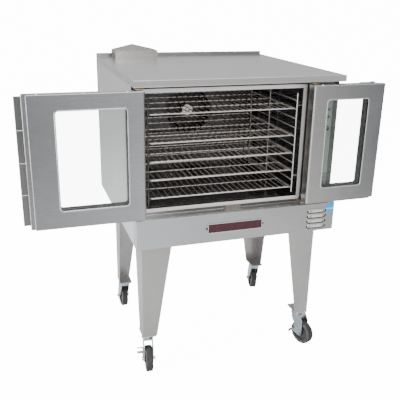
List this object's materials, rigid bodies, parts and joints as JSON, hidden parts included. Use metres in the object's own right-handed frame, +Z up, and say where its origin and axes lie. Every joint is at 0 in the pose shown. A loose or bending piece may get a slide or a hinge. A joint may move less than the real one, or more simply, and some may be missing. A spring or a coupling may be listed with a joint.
{
  "type": "convection oven",
  "caption": "Full-size gas convection oven on tapered legs with casters: two linked glass doors, sliding wire racks, flue hood and side control panel.",
  "frame": {"origin": "on the floor, below the centre of the overall outline with both doors swung fully open", "axes": "+Z up, +X to the viewer's right, -Y out of the front of the oven"},
  "size_m": [1.605, 1.029, 1.489],
  "materials": {
    "top_steel": "horizontal brushed stainless",
    "hood_steel": "brushed stainless",
    "side_steel": "brushed stainless",
    "rear_steel": "plain stainless",
    "base_steel": "mill finish",
    "front_steel": "horizontal brushed stainless",
    "frame_steel": "bright stainless",
    "seal_rubber": "matt black",
    "nameplate": "glossy maroon",
    "control_steel": "satin stainless",
    "lamp_lens": "clear lens",
    "porcelain": "glossy porcelain enamel",
    "baffle_porcelain": "glossy porcelain enamel",
    "motor_paint": "satin black",
    "bulb_steel": "bright",
    "guide_chrome": "bright plated wire",
    "rack_chrome": "bright plated wire",
    "wool": "loose mineral wool",
    "burner_steel": "aluminised steel",
    "gland_plastic": "matt black",
    "hinge_metal": "worn brass plated",
    "caster_zinc": "bluish zinc plate",
    "brake_steel": "zinc plate",
    "screw_steel": "stainless",
    "knob_plastic": "black",
    "switch_plastic": "black",
    "fan_steel": "bright stainless",
    "door_skin_steel": "horizontal brushed stainless",
    "left_liner_steel": "horizontal brushed stainless",
    "right_liner_steel": "horizontal brushed stainless",
    "door_glass": "clear, slightly green",
    "astragal_steel": "bright stainless",
    "handle_steel": "polished stainless",
    "catch_steel": "stainless",
    "leg_steel": "vertical brushed stainless",
    "hub_plastic": "dark grey",
    "tyre_rubber": "black rubber"
  },
  "bodies": {
    "cabinet": {"base_pan": "base_steel", "burner_set": "burner_steel", "cable_gland": "gland_plastic", "caster_plates": "caster_zinc", "cavity_liner": "porcelain", "control_panel": "control_steel", "door_hardware": "hinge_metal", "fan_baffle": "baffle_porcelain", "fan_motor": "motor_paint", "flue_hood": "hood_steel", "frame_gasket": "seal_rubber", "front_frame": "frame_steel", "front_left_leg": "leg_steel", "front_right_leg": "leg_steel", "insulation": "wool", "left_rack_guide": "guide_chrome", "left_side_panel": "side_steel", "lower_front_panel": "front_steel", "nameplate": "nameplate", "pilot_lamps": "lamp_lens", "rear_left_leg": "leg_steel", "rear_panel": "rear_steel", "rear_right_leg": "leg_steel", "right_rack_guide": "guide_chrome", "right_side_panel": "side_steel", "screws": "screw_steel", "thermostat_bulb": "bulb_steel", "top_panel": "top_steel"},
    "left_door": {"left_door_skin": "door_skin_steel", "left_door_liner": "left_liner_steel", "left_door_glass": "door_glass", "left_door_astragal": "astragal_steel", "door_handle": "handle_steel"},
    "right_door": {"right_door_skin": "door_skin_steel", "right_door_liner": "right_liner_steel", "right_door_glass": "door_glass", "right_door_catch": "catch_steel"},
    "fan": {"fan_wheel": "fan_steel"},
    "thermostat": {"thermostat_knob": "knob_plastic"},
    "timer": {"timer_knob": "knob_plastic"},
    "switch": {"power_switch": "switch_plastic"},
    "rack_1_body": {"rack_1": "rack_chrome"},
    "rack_2_body": {"rack_2": "rack_chrome"},
    "rack_3_body": {"rack_3": "rack_chrome"},
    "rack_4_body": {"rack_4": "rack_chrome"},
    "rack_5_body": {"rack_5": "rack_chrome"},
    "front_left_caster": {"front_left_fork": "caster_zinc"},
    "front_left_wheel": {"front_left_hub": "hub_plastic", "front_left_tyre": "tyre_rubber"},
    "front_left_lever": {"front_left_brake": "brake_steel"},
    "front_right_caster": {"front_right_fork": "caster_zinc"},
    "front_right_wheel": {"front_right_hub": "hub_plastic", "front_right_tyre": "tyre_rubber"},
    "front_right_lever": {"front_right_brake": "brake_steel"},
    "rear_left_caster": {"rear_left_fork": "caster_zinc"},
    "rear_left_wheel": {"rear_left_hub": "hub_plastic", "rear_left_tyre": "tyre_rubber"},
    "rear_right_caster": {"rear_right_fork": "caster_zinc"},
    "rear_right_wheel": {"rear_right_hub": "hub_plastic", "rear_right_tyre": "tyre_rubber"}
  },
  "joints": [
    {"name": "left_door_hinge", "type": "hinge", "parent": "cabinet", "child": "left_door", "pos_m": [-0.324, -0.4685, 1.1165], "axis": [0, 0, -1], "range_deg": [-180, 0]},
    {"name": "right_door_hinge", "type": "hinge", "parent": "cabinet", "child": "right_door", "pos_m": [0.467, -0.4685, 1.1165], "axis": [0, 0, 1], "range_deg": [-180, 0]},
    {"name": "rack_1_slide", "type": "slide", "parent": "cabinet", "child": "rack_1_body", "axis": [0, -1, 0], "range_m": [0, 0.62]},
    {"name": "rack_2_slide", "type": "slide", "parent": "cabinet", "child": "rack_2_body", "axis": [0, -1, 0], "range_m": [0, 0.62]},
    {"name": "rack_3_slide", "type": "slide", "parent": "cabinet", "child": "rack_3_body", "axis": [0, -1, 0], "range_m": [0, 0.62]},
    {"name": "rack_4_slide", "type": "slide", "parent": "cabinet", "child": "rack_4_body", "axis": [0, -1, 0], "range_m": [0, 0.62]},
    {"name": "rack_5_slide", "type": "slide", "parent": "cabinet", "child": "rack_5_body", "axis": [0, -1, 0], "range_m": [0, 0.62]},
    {"name": "fan_spin", "type": "hinge", "parent": "cabinet", "child": "fan", "pos_m": [0.0715, 0.221, 1.177], "axis": [0, 1, 0], "continuous": true},
    {"name": "thermostat_turn", "type": "hinge", "parent": "cabinet", "child": "thermostat", "pos_m": [0.524, -0.4205, 1.273], "axis": [0, 1, 0], "range_deg": [0, 270]},
    {"name": "timer_turn", "type": "hinge", "parent": "cabinet", "child": "timer", "pos_m": [0.524, -0.4205, 1.188], "axis": [0, 1, 0], "range_deg": [0, 300]},
    {"name": "switch_rock", "type": "hinge", "parent": "cabinet", "child": "switch", "pos_m": [0.5729, -0.4155, 1.173], "axis": [1, 0, 0], "range_deg": [-10, 10]},
    {"name": "front_left_swivel", "type": "hinge", "parent": "cabinet", "child": "front_left_caster", "pos_m": [-0.269, -0.3275, 0.165], "axis": [0, 0, 1], "continuous": true},
    {"name": "front_left_roll", "type": "hinge", "parent": "front_left_caster", "child": "front_left_wheel", "pos_m": [-0.27448, -0.37216, 0.0635], "axis": [0.9925, -0.1219, 0], "continuous": true},
    {"name": "front_left_brake_press", "type": "hinge", "parent": "front_left_caster", "child": "front_left_lever", "pos_m": [-0.27448, -0.37216, 0.0635], "axis": [0.9925, -0.1219, 0], "range_deg": [0, 24]},
    {"name": "front_right_swivel", "type": "hinge", "parent": "cabinet", "child": "front_right_caster", "pos_m": [0.546, -0.3275, 0.165], "axis": [0, 0, 1], "continuous": true},
    {"name": "front_right_roll", "type": "hinge", "parent": "front_right_caster", "child": "front_right_wheel", "pos_m": [0.56286, -0.36922, 0.0635], "axis": [0.9272, 0.3746, 0], "continuous": true},
    {"name": "front_right_brake_press", "type": "hinge", "parent": "front_right_caster", "child": "front_right_lever", "pos_m": [0.56286, -0.36922, 0.0635], "axis": [0.9272, 0.3746, 0], "range_deg": [0, 24]},
    {"name": "rear_left_swivel", "type": "hinge", "parent": "cabinet", "child": "rear_left_caster", "pos_m": [-0.269, 0.2515, 0.165], "axis": [0, 0, 1], "continuous": true},
    {"name": "rear_left_roll", "type": "hinge", "parent": "rear_left_caster", "child": "rear_left_wheel", "pos_m": [-0.27136, 0.29644, 0.0635], "axis": [-0.9986, -0.0523, 0], "continuous": true},
    {"name": "rear_right_swivel", "type": "hinge", "parent": "cabinet", "child": "rear_right_caster", "pos_m": [0.546, 0.2515, 0.165], "axis": [0, 0, 1], "continuous": true},
    {"name": "rear_right_roll", "type": "hinge", "parent": "rear_right_caster", "child": "rear_right_wheel", "pos_m": [0.55381, 0.29582, 0.0635], "axis": [-0.9848, 0.1736, 0], "continuous": true}
  ],
  "couplings": [
    {"joint": "right_door_hinge", "follows": "left_door_hinge", "ratio": 1}
  ]
}
